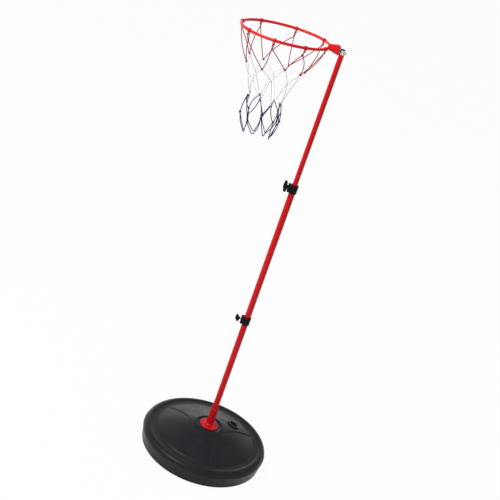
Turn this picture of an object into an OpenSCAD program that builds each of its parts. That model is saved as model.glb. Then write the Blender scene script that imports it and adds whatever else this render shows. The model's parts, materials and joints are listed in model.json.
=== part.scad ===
// Portable basketball hoop on a round weighted base, with a three-piece pole.
// Millimetres, +Z up. The origin is the centre of the base's underside, on the pole's axis.
// The rim reaches out along -X.

/* [Base] */
// Largest radius of the base, at its moulding line
base_r = 200; // [180:1:240]
// How far the underside's edge sits in from the moulding line
base_draft = 5; // [2:0.5:10]
// Height of the moulding line round the base
parting_z = 38; // [34:1:50]
// Radius of the rounded lip's section
lip_round = 16; // [12:0.5:20]
// Depth of the groove inside the lip, below the lip's top
groove_drop = 2.5; // [1:0.25:5]
// Width of the groove's flat floor
groove_w = 15; // [10:0.5:20]
// Height of the crowned top's edge above the groove
dome_step = 4; // [2:0.25:6]
// Height of the crowned top where it meets the pole's seat
dome_top_z = 93; // [86:1:104]
// Extra swell of the crowned top at its middle
dome_crown = 1; // [0:0.5:6]
// Radius of the round seat for the pole's flange
seat_r = 42; // [36:1:52]
// Depth of the seat below the crowned top
seat_drop = 2; // [1:0.25:4]
// Thickness of the blow-moulded wall
base_wall = 3; // [2.5:0.25:5]
// Depth of the two side panels moulded into the top
lobe_drop = 1.4; // [0.6:0.2:1.8]
// Radius of a side panel's round edge
lobe_r = 190; // [180:1:198]
// Distance from the pole's axis to the centre of a panel's round edge
lobe_out = 246; // [240:1:256]
// Angle of a panel's centre below the base's own left and right
lobe_angle = 23; // [10:1:40]
// Turn of the base about the pole
base_turn = 12; // [-180:1:180]

/* [Fill hole] */
// Place of the fill hole to the right of the pole
fill_x = 74; // [66:1:80]
// Place of the fill hole behind the pole
fill_y = 70; // [68:1:82]
// Diameter of the fill hole
fill_bore_d = 34; // [30:0.5:38]
// Diameter of the flat boss round the fill hole
fill_boss_d = 48; // [44:0.5:52]
// Height of the boss above the crowned top
fill_boss_rise = 1; // [0.5:0.25:2]
// Length of the neck below the boss
fill_neck = 12; // [9:0.5:16]
// Diameter of the stopper's flange
plug_flange_d = 42; // [40:0.5:44]
// Thickness of the stopper's flange
plug_flange_t = 3; // [2:0.25:5]
// Diameter of the finger cup in the stopper
plug_cup_d = 27; // [20:0.5:28]
// Length of the stopper below its flange
plug_len = 20; // [14:0.5:24]
// Thickness of the stopper's floor
plug_floor = 2; // [1.5:0.25:4]

/* [Pole socket] */
// Diameter of the socket's flange
socket_flange_d = 61; // [50:1:70]
// Thickness of the socket's flange
socket_flange_t = 4; // [3:0.5:8]
// Outside diameter of the socket's sleeve
sleeve_d = 23; // [22:0.25:27]
// Height of the sleeve above the flange
sleeve_len = 62; // [40:1:100]
// Diameter of the stub that goes down into the base
stub_d = 30; // [27:0.5:36]
// Length of the stub below the flange
stub_len = 61; // [40:1:66]
// Thickness of the stub's floor, on which the pole stands
stub_floor = 4; // [2:0.5:8]

/* [Pole] */
// Outside diameter of the lower and middle tubes
tube_d = 19; // [18:0.25:20]
// Wall of the lower and middle tubes
tube_wall = 1.2; // [0.8:0.1:1.4]
// Length of the lower tube
lower_len = 442.5; // [300:0.5:600]
// Length of the middle tube
middle_len = 446.2; // [350:0.1:600]
// Outside diameter of the upper tube
top_tube_d = 15; // [14:0.25:16]
// Wall of the upper tube
top_tube_wall = 1; // [0.8:0.1:1.2]
// Length of the upper tube
upper_len = 494; // [380:1:700]
// How far the upper tube stands in the middle tube
upper_overlap = 80; // [60:1:300]
// How far the middle tube's spigot reaches into the lower tube
spigot_down = 110; // [60:1:160]
// How far that spigot is pressed up into the middle tube
spigot_up = 40; // [25:1:60]
// Length of a guide bush's shoulder
bush_len = 8; // [5:0.5:14]
// Length of a guide bush's neck
bush_neck = 12; // [6:0.5:20]

/* [Pole clamps] */
// Outside diameter of a clamp collar
collar_d = 24; // [24:0.5:30]
// Height of a clamp collar
collar_len = 25; // [23:0.5:40]
// How far a collar grips the tube below it
collar_grip = 6; // [4:0.5:9]
// Width of the square bosses that carry the thumbscrews
boss_w = 18; // [15:0.5:22]
// Distance from the pole's axis to the face of a boss
boss_out = 17.5; // [17:0.1:22]
// Direction of the thumbscrews about the pole
clamp_turn = 200; // [0:1:359]
// Diameter of the thumbscrews
screw_d = 5.9; // [4.9:0.1:6.4]
// Gap between a boss and the upper wings when their screw is tight
wing_gap = 0.5; // [0.3:0.1:3]
// How far the lower screw is backed out from its tube
lower_back = 2; // [0.5:0.1:4]
// Span of a thumbscrew's wings
wing_span = 38; // [30:0.5:42]
// Height of a thumbscrew's wings along the screw
wing_h = 14; // [12:0.5:16]
// Thickness of a thumbscrew's wings
wing_t = 5; // [2.5:0.25:6]
// Turn of the lower wings about their screw
lower_wing_turn = 87; // [-180:1:180]
// Turn of the upper wings about their screw
upper_wing_turn = 48; // [-180:1:180]

/* [Rim] */
// Radius of the rim, to the middle of its rod
rim_r = 125; // [105:1:160]
// Diameter of the rim's rod
rod_d = 8; // [6:0.25:10]
// Distance from the pole's axis to the rim's centre
rim_reach = 166.6; // [163:0.1:210]
// Droop of the rim's far side
rim_droop = 3.2; // [0:0.1:6]
// Height of the rim's plane above the upper tube's end, on the pole's axis
rim_rise = 3.7; // [2:0.1:5]
// Width of the rim's bracket
bracket_w = 18; // [14:0.5:24]
// Thickness of the bracket's sheet
sheet_t = 2; // [1.5:0.25:3]
// Height of the bracket's back plate above the rim's plane
bracket_up = 12; // [10:0.25:16]
// Depth of the bracket's back plate below the rim's plane
bracket_down = 8; // [5:0.25:14]
// How far the fold at the bracket's top stands above its back plate
fold_rise = 6; // [3:0.25:9]
// How far that fold sits in front of the back plate
fold_in = 8; // [5:0.25:14]
// Height of the bracket's front edge above the middle of the rim's rod
bracket_front = 14; // [10:0.25:18]
// How far the plated spigot stands out of the upper tube
rim_spigot_out = 13; // [12:0.5:18]
// How far that spigot reaches into the upper tube
rim_spigot_in = 40; // [25:1:60]
// Wall of the plated spigot
rim_spigot_wall = 1.2; // [1:0.1:1.6]
// Diameter of the cross bolt
bolt_d = 4; // [3:0.25:4.5]
// Height of the cross bolt above the upper tube's end
bolt_rise = 5; // [4.8:0.1:5.2]

/* [Net] */
// Thickness of the net's cord
cord_d = 2.6; // [1.6:0.1:3]
// Outside diameter of a net clip's sleeve
clip_d = 12; // [11.5:0.25:15]
// Length of a net clip's sleeve
clip_len = 7; // [5:0.5:10]
// Middle radius of a net clip's eye
eye_r = 3.2; // [2.6:0.1:4.5]
// Thickness of a net clip's eye wire
eye_d = 2.2; // [1.6:0.1:2.6]

/* [Hidden] */
$fn = 96;
// Radial clearances: a running or sliding fit, and a piece that is seated for good
slide_clear = 0.05;
seat_clear = 0.05;
// Gap between faces that stop against each other
stop_gap = 0.3;
// Overshoot of a cut beyond the face that it opens
past = 1;
// Chamfers on moulded and turned edges
edge = 1;
foot_edge = 3;

// Base, from its lip to its seat
lip_c = base_r - lip_round;
lip_end_angle = 180 - asin((lip_round - groove_drop) / lip_round);
groove_z = parting_z + lip_round - groove_drop;
groove_out_r = lip_c + lip_round * cos(lip_end_angle);
groove_r = groove_out_r - groove_w;
step_run = 5;
dome_r = groove_r - step_run;
dome_edge_z = groove_z + dome_step;
seat_z = dome_top_z - seat_drop;
dome_steps = 10;
arc_steps = 12;
// A wall measured upright on the crowned top is longer than one measured square to it
upright = 1.1;
lobe_headroom = 5;
well_r = stub_d / 2;
well_wall = 3;
well_out_r = well_r + well_wall;
well_gap = 12;

// Fill hole, square to the crowned top where it stands
fill_r = norm([fill_x, fill_y]);
fill_z = dome(fill_r);
fill_probe = 5;
fill_tilt = atan2(dome(fill_r - fill_probe) - dome(fill_r + fill_probe), 2 * fill_probe);
fill_azimuth = atan2(fill_y, fill_x);

// Pole heights, from the stub's floor up
stub_z = seat_z - stub_len;
lower_foot_z = stub_z + stub_floor;
lower_top_z = lower_foot_z + lower_len;
middle_foot_z = lower_top_z + stop_gap;
middle_top_z = middle_foot_z + middle_len;
upper_foot_z = middle_top_z - upper_overlap;
upper_top_z = upper_foot_z + upper_len;
tube_bore_r = tube_d / 2 - tube_wall;
top_bore_r = top_tube_d / 2 - top_tube_wall;
spigot_r = tube_bore_r - slide_clear;
spigot_wall = 1.2;
spigot_bore_r = spigot_r - spigot_wall;

// Clamps: places along a thumbscrew are distances from the pole's axis
lower_collar_z = lower_top_z - collar_grip;
upper_collar_z = middle_top_z - collar_grip;
screw_up = 14;
screw_r = screw_d / 2;
nut_bore_r = screw_r + slide_clear;
nut_flat = 10;
nut_t = 4.5;
nut_cover = 1;
nut_out = boss_out - nut_cover;
screw_way_r = nut_bore_r + seat_clear;
tip_head_t = 1;
tip_head_r = screw_r - 0.4;
tip_pin_r = 1.5;
tip_pin_len = 5;
upper_tip = top_tube_d / 2 + stop_gap;
lower_tip_at = tube_d / 2 + stop_gap + lower_back;
screw_len = boss_out + wing_gap - upper_tip;
boss_edge = 2;
boss_inset = 0.5;
hub_d = 11;
wing_tip_d = 9;
screw_in_hub = 6;
bead = 0.5;
bead_len = 2;

// Rim and its bracket
rim_z = upper_top_z + rim_rise;
rod_r = rod_d / 2;
rim_c = [-rim_reach * cos(rim_droop), 0, rim_z - rim_reach * sin(rim_droop)];
rim_near = rim_reach - rim_r;
near_x = -rim_near * cos(rim_droop);
near_z = rim_z - rim_near * sin(rim_droop);
plate_gap = 0.7;
plate_x = -top_tube_d / 2 - plate_gap;
rim_spigot_r = top_bore_r - seat_clear;
bolt_r = bolt_d / 2;
bolt_z = upper_top_z + bolt_rise;
bolt_head_d = 7;
bolt_head_t = 2.6;
bolt_tail = 2;
washer_d = 9;
washer_t = 1;
spacer_d = 8;
bolt_nut_flat = 7;
bolt_nut_t = 3.2;
cap_len = 4;
cap_sink = 0.5;

// Net: the clips and five rows of knots, as how far each row is drawn in from the rim and how far
// it swings towards the pole
net_draw = [0, 41, 59, 75, 68, 83];
net_swing = [0, 0, 0, 0, 4, 10];
// Where each clip and knot stands round the rim. A knot hangs between two of the row above it.
net_angle = [
    [-8, 46, 94, 143, 187, 236, 275, 315],
    [17, 80, 132, 176, 217, 264, 305, 345],
    [50, 105, 155, 196, 240, 287, 330, 360],
    [70, 124, 172, 224, 274, 314, 352, 382],
    [100, 147, 196, 248, 290, 330, 365, 405],
    [120, 168, 225, 270, 312, 347, 385, 430]
];
// How deep each of them hangs
net_depth = [
    [11, 11, 11, 11, 11, 11, 11, 11],
    [89, 98, 100, 84, 95, 93, 78, 89],
    [130, 130, 128, 130, 136, 120, 120, 126],
    [199, 195, 188, 186, 184, 195, 188, 197],
    [248, 240, 245, 233, 234, 238, 240, 240],
    [298, 296, 290, 283, 282, 292, 290, 292]
];
net_count = len(net_angle[0]);
cord_r = cord_d / 2;
cord_sides = 6;
cord_sag = 2;
knot_half = 2;
knot_rise = 4;
eye_drop = clip_d / 2 + eye_r - 0.6;

// Points along an arc, with its ends
function arc(centre, r, from, to) = [
    for (i = [0 : arc_steps])
        let (a = from + (to - from) * i / arc_steps)
        centre + r * [cos(a), sin(a)]
];

// Height of the base's crowned top at a distance from the pole
function dome(r) =
    let (t = (dome_r - r) / (dome_r - seat_r))
    dome_edge_z + (dome_top_z - dome_edge_z) * t + 4 * dome_crown * t * (1 - t);

// The crowned top's outline between two distances from the pole, lowered by drop
function dome_line(drop, from_r, to_r) = [
    for (i = [0 : dome_steps])
        let (r = from_r + (to_r - from_r) * i / dome_steps)
        [r, dome(r) - drop]
];

function reversed(points) = [for (i = [len(points) - 1 : -1 : 0]) points[i]];

// Base: a closed hollow moulding with a well for the pole and a neck for the stopper
module tank_outside() {
    rotate_extrude()
        polygon(concat(
            [[0, 0], [base_r - base_draft - foot_edge, 0], [base_r - base_draft, foot_edge]],
            arc([lip_c, parting_z], lip_round, 0, lip_end_angle),
            [[groove_r, groove_z]],
            dome_line(0, dome_r, seat_r),
            [[seat_r, seat_z], [0, seat_z]]
        ));
}

module tank_inside() {
    ceiling_z = seat_z - base_wall;
    rotate_extrude()
        polygon(concat(
            [
                [well_out_r, base_wall],
                [base_r - base_draft - foot_edge - base_wall / 2, base_wall],
                [base_r - base_draft - base_wall, base_wall + foot_edge]
            ],
            arc([lip_c, parting_z], lip_round - base_wall, 0, 90),
            [[groove_out_r, groove_z - base_wall], [groove_r - base_wall / 2, groove_z - base_wall]],
            dome_line(base_wall * upright, dome_r, seat_r + base_wall),
            [[seat_r, ceiling_z], [well_out_r, ceiling_z]]
        ));
}

module lobe_cut() {
    intersection() {
        for (side = [-lobe_angle, 180 + lobe_angle])
            rotate(side)
                translate([lobe_out, 0, 0])
                    cylinder(r = lobe_r, h = dome_top_z + lobe_headroom);
        rotate_extrude()
            polygon(concat(
                dome_line(lobe_drop, groove_r, seat_r),
                reversed(dome_line(-lobe_headroom, groove_r, seat_r))
            ));
    }
}

module at_fill() {
    rotate([0, 0, base_turn + fill_azimuth])
        translate([fill_r, 0, fill_z])
            rotate([0, fill_tilt, 0])
                children();
}

module base_tank() {
    color("#1b1b1d")
        difference() {
            union() {
                rotate(base_turn)
                    difference() {
                        tank_outside();
                        tank_inside();
                        lobe_cut();
                    }
                at_fill()
                    translate([0, 0, -fill_neck])
                        cylinder(d = fill_boss_d, h = fill_neck + fill_boss_rise);
            }
            at_fill()
                translate([0, 0, -fill_neck - past])
                    cylinder(d = fill_bore_d, h = fill_neck + fill_boss_rise + 2 * past);
            translate([0, 0, stub_z - well_gap])
                cylinder(r = well_r, h = seat_z - stub_z + well_gap + past);
        }
}

module fill_plug() {
    color("#141416")
        at_fill()
            translate([0, 0, fill_boss_rise + slide_clear])
                rotate_extrude()
                    polygon([
                        [0, -plug_len],
                        [fill_bore_d / 2 - slide_clear - edge, -plug_len],
                        [fill_bore_d / 2 - slide_clear, edge - plug_len],
                        [fill_bore_d / 2 - slide_clear, 0],
                        [plug_flange_d / 2, 0],
                        [plug_flange_d / 2, plug_flange_t - edge],
                        [plug_flange_d / 2 - edge, plug_flange_t],
                        [plug_cup_d / 2 + edge, plug_flange_t],
                        [plug_cup_d / 2, plug_flange_t - edge],
                        [plug_cup_d / 2, plug_floor - plug_len],
                        [0, plug_floor - plug_len]
                    ]);
}

// Socket: a flange on the base, a stub in its well and a sleeve round the pole
module pole_socket() {
    flange_top = seat_z + socket_flange_t;
    sleeve_top = flange_top + sleeve_len;
    sleeve_r = sleeve_d / 2;
    bore_r = tube_d / 2 + seat_clear;
    foot_flare = 3;
    color("#b3141c")
        rotate_extrude()
            polygon([
                [0, stub_z],
                [stub_d / 2 - seat_clear - edge, stub_z],
                [stub_d / 2 - seat_clear, stub_z + edge],
                [stub_d / 2 - seat_clear, seat_z],
                [socket_flange_d / 2, seat_z],
                [socket_flange_d / 2, flange_top - edge],
                [socket_flange_d / 2 - edge, flange_top],
                [sleeve_r + foot_flare, flange_top],
                [sleeve_r, flange_top + 2 * foot_flare],
                [sleeve_r, sleeve_top - edge / 2],
                [sleeve_r - edge / 2, sleeve_top],
                [bore_r, sleeve_top],
                [bore_r, lower_foot_z],
                [0, lower_foot_z]
            ]);
}

// Pole: plain tubes, the middle one with a spigot in its foot
module tube(r, bore_r, from, to) {
    translate([0, 0, from])
        difference() {
            cylinder(r = r, h = to - from);
            translate([0, 0, -past])
                cylinder(r = bore_r, h = to - from + 2 * past);
        }
}

module lower_tube() {
    color("#cf1f27")
        tube(tube_d / 2, tube_bore_r, lower_foot_z, lower_top_z);
}

module middle_tube() {
    color("#cf1f27")
        tube(tube_d / 2, tube_bore_r, middle_foot_z, middle_top_z);
}

module middle_spigot() {
    color("#b0b3b7")
        tube(spigot_r, spigot_bore_r, middle_foot_z - spigot_down, middle_foot_z + spigot_up);
}

module upper_tube() {
    color("#cf1f27")
        tube(top_tube_d / 2, top_bore_r, upper_foot_z, upper_top_z);
}

// Guide bush: a shoulder that slides in the outer tube and a neck in the inner tube's foot
module guide_bush(inner_foot_z, inner_bore_r) {
    shoulder_r = tube_bore_r - slide_clear;
    neck_r = inner_bore_r - slide_clear;
    top = inner_foot_z - stop_gap;
    translate([0, 0, top])
        rotate_extrude()
            polygon([
                [0, -bush_len],
                [shoulder_r - edge, -bush_len],
                [shoulder_r, edge - bush_len],
                [shoulder_r, 0],
                [neck_r, 0],
                [neck_r, bush_neck - edge],
                [neck_r - edge, bush_neck],
                [0, bush_neck]
            ]);
}

module lower_bush() {
    color("#2a2a2c")
        guide_bush(middle_foot_z - spigot_down, spigot_bore_r);
}

module upper_bush() {
    color("#2a2a2c")
        guide_bush(upper_foot_z, top_bore_r);
}

// Clamps: a collar on the tube below, a nut in its boss and a thumbscrew with a loose tip
module on_screw(collar_z) {
    translate([0, 0, collar_z + screw_up])
        rotate([0, 0, clamp_turn])
            rotate([0, 90, 0])
                children();
}

module hexagon(flat, h) {
    cylinder(d = flat / cos(30), h = h, $fn = 6);
}

module boss_outline() {
    half = boss_w / 2;
    polygon([
        [0, -half],
        [boss_out - boss_edge, -half],
        [boss_out, boss_edge - half],
        [boss_out, half - boss_edge],
        [boss_out - boss_edge, half],
        [0, half]
    ]);
}

module clamp_collar(collar_z, above_d) {
    r = collar_d / 2;
    nut_in = nut_out - nut_t;
    difference() {
        translate([0, 0, collar_z]) {
            rotate_extrude()
                polygon([
                    [0, 0],
                    [r, 0],
                    [r + bead, bead],
                    [r + bead, bead_len],
                    [r, bead_len + bead],
                    [r, collar_len - bead_len - bead],
                    [r + bead, collar_len - bead_len],
                    [r + bead, collar_len - edge],
                    [r + bead - edge, collar_len],
                    [0, collar_len]
                ]);
            translate([0, 0, boss_inset])
                rotate(clamp_turn)
                    linear_extrude(collar_len - 2 * boss_inset)
                        boss_outline();
        }
        translate([0, 0, collar_z - past])
            cylinder(r = tube_d / 2 + seat_clear, h = collar_grip + past);
        translate([0, 0, collar_z])
            cylinder(r = above_d / 2 + slide_clear, h = collar_len + past);
        on_screw(collar_z)
            cylinder(r = screw_way_r, h = boss_out + past);
        on_screw(collar_z)
            translate([0, 0, nut_in - seat_clear])
                hexagon(nut_flat + 2 * seat_clear, nut_t + 2 * seat_clear);
    }
}

module clamp_nut(collar_z) {
    on_screw(collar_z)
        translate([0, 0, nut_out - nut_t])
            difference() {
                hexagon(nut_flat, nut_t);
                translate([0, 0, -past])
                    cylinder(r = nut_bore_r, h = nut_t + 2 * past);
            }
}

module screw_tip(collar_z, tip_at) {
    on_screw(collar_z)
        translate([0, 0, tip_at]) {
            cylinder(r = tip_head_r, h = tip_head_t);
            cylinder(r = tip_pin_r, h = tip_head_t + tip_pin_len);
        }
}

module clamp_screw(collar_z, tip_at) {
    shank_in = tip_head_t + slide_clear;
    on_screw(collar_z)
        translate([0, 0, tip_at + shank_in])
            difference() {
                cylinder(r = screw_r, h = screw_len - shank_in + screw_in_hub);
                translate([0, 0, -past])
                    cylinder(r = tip_pin_r + slide_clear, h = tip_pin_len + stop_gap + past);
            }
}

module wing_outline() {
    tip_r = wing_tip_d / 2;
    reach = wing_span / 2 - tip_r;
    rise = wing_h / 2;
    for (side = [-1, 1]) {
        translate([side * reach, rise])
            circle(r = tip_r);
        polygon([
            [0, edge],
            [side * (reach + 0.6 * tip_r), rise - 0.8 * tip_r],
            [side * (reach - 0.28 * tip_r), rise + 0.96 * tip_r],
            [0, wing_h - edge]
        ]);
    }
}

module clamp_wing(collar_z, tip_at, turn) {
    on_screw(collar_z)
        translate([0, 0, tip_at + screw_len])
            rotate(turn)
                difference() {
                    union() {
                        cylinder(d = hub_d, h = wing_h);
                        rotate([90, 0, 0])
                            translate([0, 0, -wing_t / 2])
                                linear_extrude(wing_t)
                                    wing_outline();
                    }
                    translate([0, 0, -past])
                        cylinder(r = screw_r + seat_clear, h = screw_in_hub + seat_clear + past);
                }
}

module lower_collar() {
    color("#202022")
        clamp_collar(lower_collar_z, tube_d);
}

module lower_nut() {
    color("#a9adb2")
        clamp_nut(lower_collar_z);
}

module lower_tip() {
    color("#c9a44c")
        screw_tip(lower_collar_z, lower_tip_at);
}

module lower_screw() {
    color("#c4c7cb")
        clamp_screw(lower_collar_z, lower_tip_at);
}

module lower_wing() {
    color("#202022")
        clamp_wing(lower_collar_z, lower_tip_at, lower_wing_turn);
}

module upper_collar() {
    color("#202022")
        clamp_collar(upper_collar_z, top_tube_d);
}

module upper_nut() {
    color("#a9adb2")
        clamp_nut(upper_collar_z);
}

module upper_tip() {
    color("#c9a44c")
        screw_tip(upper_collar_z, upper_tip);
}

module upper_screw() {
    color("#c4c7cb")
        clamp_screw(upper_collar_z, upper_tip);
}

module upper_wing() {
    color("#202022")
        clamp_wing(upper_collar_z, upper_tip, upper_wing_turn);
}

// Rim: a round rod welded to a folded bracket, bolted across a plated spigot
module along_bolt() {
    translate([0, 0, bolt_z])
        rotate([0, 90, 0])
            children();
}

module at_rim() {
    translate([0, 0, rim_z])
        rotate([0, -rim_droop, 0])
            translate([-rim_reach, 0, 0])
                children();
}

module rim_spigot() {
    color("#c9ccd0")
        difference() {
            tube(
                rim_spigot_r,
                rim_spigot_r - rim_spigot_wall,
                upper_top_z - rim_spigot_in,
                upper_top_z + rim_spigot_out
            );
            along_bolt()
                translate([0, 0, -rim_spigot_r - past])
                    cylinder(r = bolt_r + seat_clear, h = 2 * (rim_spigot_r + past));
        }
}

module spigot_cap() {
    color("#19191b")
        translate([0, 0, upper_top_z + rim_spigot_out - cap_sink - cap_len])
            cylinder(r = rim_spigot_r - rim_spigot_wall - seat_clear, h = cap_len);
}

module side_plate(points, width) {
    rotate([90, 0, 0])
        translate([0, 0, -width / 2])
            linear_extrude(width)
                polygon(points);
}

// A straight line through two points, moved square to itself, and where two lines meet
function shifted(a, b, by) =
    let (t = unit(b - a), left = [-t.y, t.x])
    [a + by * left, b + by * left];

function meet(l, m) =
    let (p = l[1] - l[0], q = m[1] - m[0])
    l[0] + cross(m[0] - l[0], q) / cross(p, q) * p;

// The bracket's outline seen from the side, from its back plate over the fold to its front
module rim_bracket() {
    foot = [plate_x, rim_z - bracket_down];
    head = [plate_x, rim_z + bracket_up];
    fold = head + [-fold_in, fold_rise];
    front_top = [near_x, near_z + bracket_front];
    front_foot = [near_x, near_z];
    back_in = shifted(foot, head, sheet_t);
    slant_in = shifted(head, fold, sheet_t);
    top_in = shifted(fold, front_top, sheet_t);
    beyond_x = near_x - rod_d;
    below_z = foot.y - past;
    color("#d8232b")
        difference() {
            side_plate([foot, head, fold, front_top, front_foot], bracket_w);
            side_plate([
                [back_in[0].x, below_z],
                meet(back_in, slant_in),
                meet(slant_in, top_in),
                meet(top_in, [[beyond_x, 0], [beyond_x, 1]]),
                [beyond_x, below_z]
            ], bracket_w - 2 * sheet_t);
            along_bolt()
                translate([0, 0, plate_x - sheet_t - past])
                    cylinder(r = bolt_r + seat_clear, h = sheet_t + 2 * past);
        }
}

module bolt_ring(d, from, t) {
    along_bolt()
        translate([0, 0, from])
            difference() {
                cylinder(d = d, h = t);
                translate([0, 0, -past])
                    cylinder(r = bolt_r + seat_clear, h = t + 2 * past);
            }
}

module bracket_spacer() {
    color("#d5d7da")
        bolt_ring(spacer_d, plate_x + seat_clear, -plate_x - rim_spigot_r - 2 * seat_clear);
}

module bracket_washer() {
    color("#d5d7da")
        bolt_ring(washer_d, rim_spigot_r + seat_clear, washer_t);
}

module bracket_nut() {
    color("#c4c7cb")
        along_bolt()
            translate([0, 0, rim_spigot_r + washer_t + 2 * seat_clear])
                difference() {
                    hexagon(bolt_nut_flat, bolt_nut_t);
                    translate([0, 0, -past])
                        cylinder(r = bolt_r + seat_clear, h = bolt_nut_t + 2 * past);
                }
}

module bracket_bolt() {
    head_x = plate_x - sheet_t - seat_clear;
    end_x = rim_spigot_r + washer_t + bolt_nut_t + bolt_tail;
    color("#c4c7cb")
        along_bolt() {
            translate([0, 0, head_x - bolt_head_t])
                cylinder(d = bolt_head_d, h = bolt_head_t);
            translate([0, 0, head_x - bolt_head_t / 2])
                cylinder(r = bolt_r, h = end_x - head_x + bolt_head_t / 2);
        }
}

module rim_ring() {
    color("#d8232b")
        at_rim()
            rotate_extrude()
                translate([rim_r, 0])
                    circle(r = rod_r, $fn = 32);
}

// Net clips: a sleeve on the rim's rod with a wire eye below it
module net_clip() {
    translate([rim_r, 0, 0]) {
        difference() {
            rotate([90, 0, 0])
                translate([0, 0, -clip_len / 2])
                    cylinder(d = clip_d, h = clip_len);
            rotate([90, 0, 0])
                translate([0, 0, -clip_len / 2 - past])
                    cylinder(r = rod_r + 4 * seat_clear, h = clip_len + 2 * past);
        }
        translate([0, 0, -eye_drop])
            rotate([0, 90, 0])
                rotate_extrude()
                    translate([eye_r, 0])
                        circle(d = eye_d, $fn = 24);
    }
}

module net_clips() {
    color("#c81e26")
        at_rim()
            for (a = net_angle[0])
                rotate(a)
                    net_clip();
}

// Net: each row is a ring of V-shaped cords whose points are the knots below them
function net_point(a, r, depth, swing) =
    let (x = r * cos(a))
    [rim_c.x + swing + x, r * sin(a), rim_c.z + x * tan(rim_droop) - depth];

function row_r(row) = rim_r - net_draw[row];

// Angle and depth of a row's knot, counted on past a full turn
function knot_angle(row, i) = net_angle[row][i % net_count] + 360 * floor(i / net_count);

function knot_depth(row, i) = net_depth[row][i % net_count];

// Angle that a length along the row covers
function along(row, length) = length / row_r(row) * 180 / PI;

// From a knot, on one side, down to knot i of the next row
function strand(row, i, side) =
    let (
        above = side < 0 ? i : i + 1,
        top_a = knot_angle(row, above) - side * along(row, cord_r + stop_gap),
        foot_a = knot_angle(row + 1, i) + side * along(row + 1, knot_half),
        top_depth = knot_depth(row, above),
        foot_depth = knot_depth(row + 1, i),
        top = net_point(top_a, row_r(row), top_depth, net_swing[row]),
        foot = net_point(foot_a, row_r(row + 1), foot_depth - knot_rise, net_swing[row + 1]),
        middle = net_point(
            (top_a + foot_a) / 2,
            (row_r(row) + row_r(row + 1)) / 2,
            (top_depth + foot_depth) / 2 + cord_sag,
            (net_swing[row] + net_swing[row + 1]) / 2
        )
    )
    [top, middle, foot];

function knot_path(row, i) = concat(
    strand(row, i, -1),
    [net_point(knot_angle(row + 1, i), row_r(row + 1), knot_depth(row + 1, i), net_swing[row + 1])],
    reversed(strand(row, i, 1))
);

function unit(v) = v / norm(v);

// One six-sided section of cord at point i of a path
function cord_ring(path, i) =
    let (
        before = path[max(i - 1, 0)],
        after = path[min(i + 1, len(path) - 1)],
        t = unit(after - before),
        outward = unit([path[i].x - rim_c.x, path[i].y, 0]),
        u = unit(cross(t, outward)),
        v = cross(u, t)
    )
    [
        for (k = [0 : cord_sides - 1])
            path[i] + cord_r * (cos(k * 360 / cord_sides) * u + sin(k * 360 / cord_sides) * v)
    ];

module cord(path) {
    n = len(path);
    s = cord_sides;
    points = [for (i = [0 : n - 1]) each cord_ring(path, i)];
    sides = [
        for (i = [0 : n - 2], k = [0 : s - 1])
            let (a = i * s + k, b = i * s + (k + 1) % s)
            each [[a, b, a + s], [b, b + s, a + s]]
    ];
    foot = [for (k = [1 : s - 2]) [0, k + 1, k]];
    head = [for (k = [1 : s - 2]) (n - 1) * s * [1, 1, 1] + [0, k, k + 1]];
    polyhedron(points, concat(sides, foot, head));
}

module net_row(row) {
    for (i = [0 : net_count - 1])
        cord(knot_path(row, i));
}

module net_red() {
    color("#a81a20")
        net_row(0);
}

module net_white_upper() {
    color("#f2f2f0")
        net_row(1);
}

module net_white_lower() {
    color("#f2f2f0")
        net_row(2);
}

module net_blue_upper() {
    color("#24235e")
        net_row(3);
}

module net_blue_lower() {
    color("#24235e")
        net_row(4);
}

base_tank();
fill_plug();
pole_socket();
lower_tube();
lower_collar();
lower_nut();
lower_tip();
lower_screw();
lower_wing();
lower_bush();
middle_tube();
middle_spigot();
upper_collar();
upper_nut();
upper_tip();
upper_screw();
upper_wing();
upper_bush();
upper_tube();
rim_spigot();
spigot_cap();
rim_bracket();
bracket_bolt();
bracket_spacer();
bracket_washer();
bracket_nut();
rim_ring();
net_clips();
net_red();
net_white_upper();
net_white_lower();
net_blue_upper();
net_blue_lower();
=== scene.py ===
import json
import math
import random

import bmesh
import bpy
from mathutils import Matrix, Vector


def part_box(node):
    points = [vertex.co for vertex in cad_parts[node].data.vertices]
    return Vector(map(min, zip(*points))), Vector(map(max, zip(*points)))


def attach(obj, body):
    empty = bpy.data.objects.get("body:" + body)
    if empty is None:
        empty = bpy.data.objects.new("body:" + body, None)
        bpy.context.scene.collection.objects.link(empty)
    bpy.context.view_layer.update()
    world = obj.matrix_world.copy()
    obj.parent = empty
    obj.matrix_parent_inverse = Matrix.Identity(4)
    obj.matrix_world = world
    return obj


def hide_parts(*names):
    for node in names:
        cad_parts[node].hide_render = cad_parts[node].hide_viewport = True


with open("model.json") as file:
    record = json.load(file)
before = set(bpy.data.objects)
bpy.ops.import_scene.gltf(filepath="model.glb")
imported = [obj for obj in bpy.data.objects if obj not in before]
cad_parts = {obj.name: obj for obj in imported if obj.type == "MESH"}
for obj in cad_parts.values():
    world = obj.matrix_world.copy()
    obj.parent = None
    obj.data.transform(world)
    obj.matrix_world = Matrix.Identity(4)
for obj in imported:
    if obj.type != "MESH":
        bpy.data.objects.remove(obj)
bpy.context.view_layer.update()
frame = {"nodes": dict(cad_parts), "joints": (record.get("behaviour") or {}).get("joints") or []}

# A portable basketball hoop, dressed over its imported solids. Metres, +Z up, the rim along -X.

MM = 0.001
UP = Vector((0, 0, 1))
rng = random.Random(11)
scene = bpy.context.scene
scene.view_settings.view_transform = "Standard"


# Camera, from the photograph's viewing angle

PHOTO_WIDTH_PX = 500
FOCAL_PX = 1050
SENSOR_WIDTH_MM = 36
CAMERA_AT = Vector((0.5925, -2.7636, 1.9359))
CAMERA_TARGET = Vector((-0.0585, -0.0123, 0.7055))
CAMERA_ROLL = math.radians(19.24)


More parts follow.
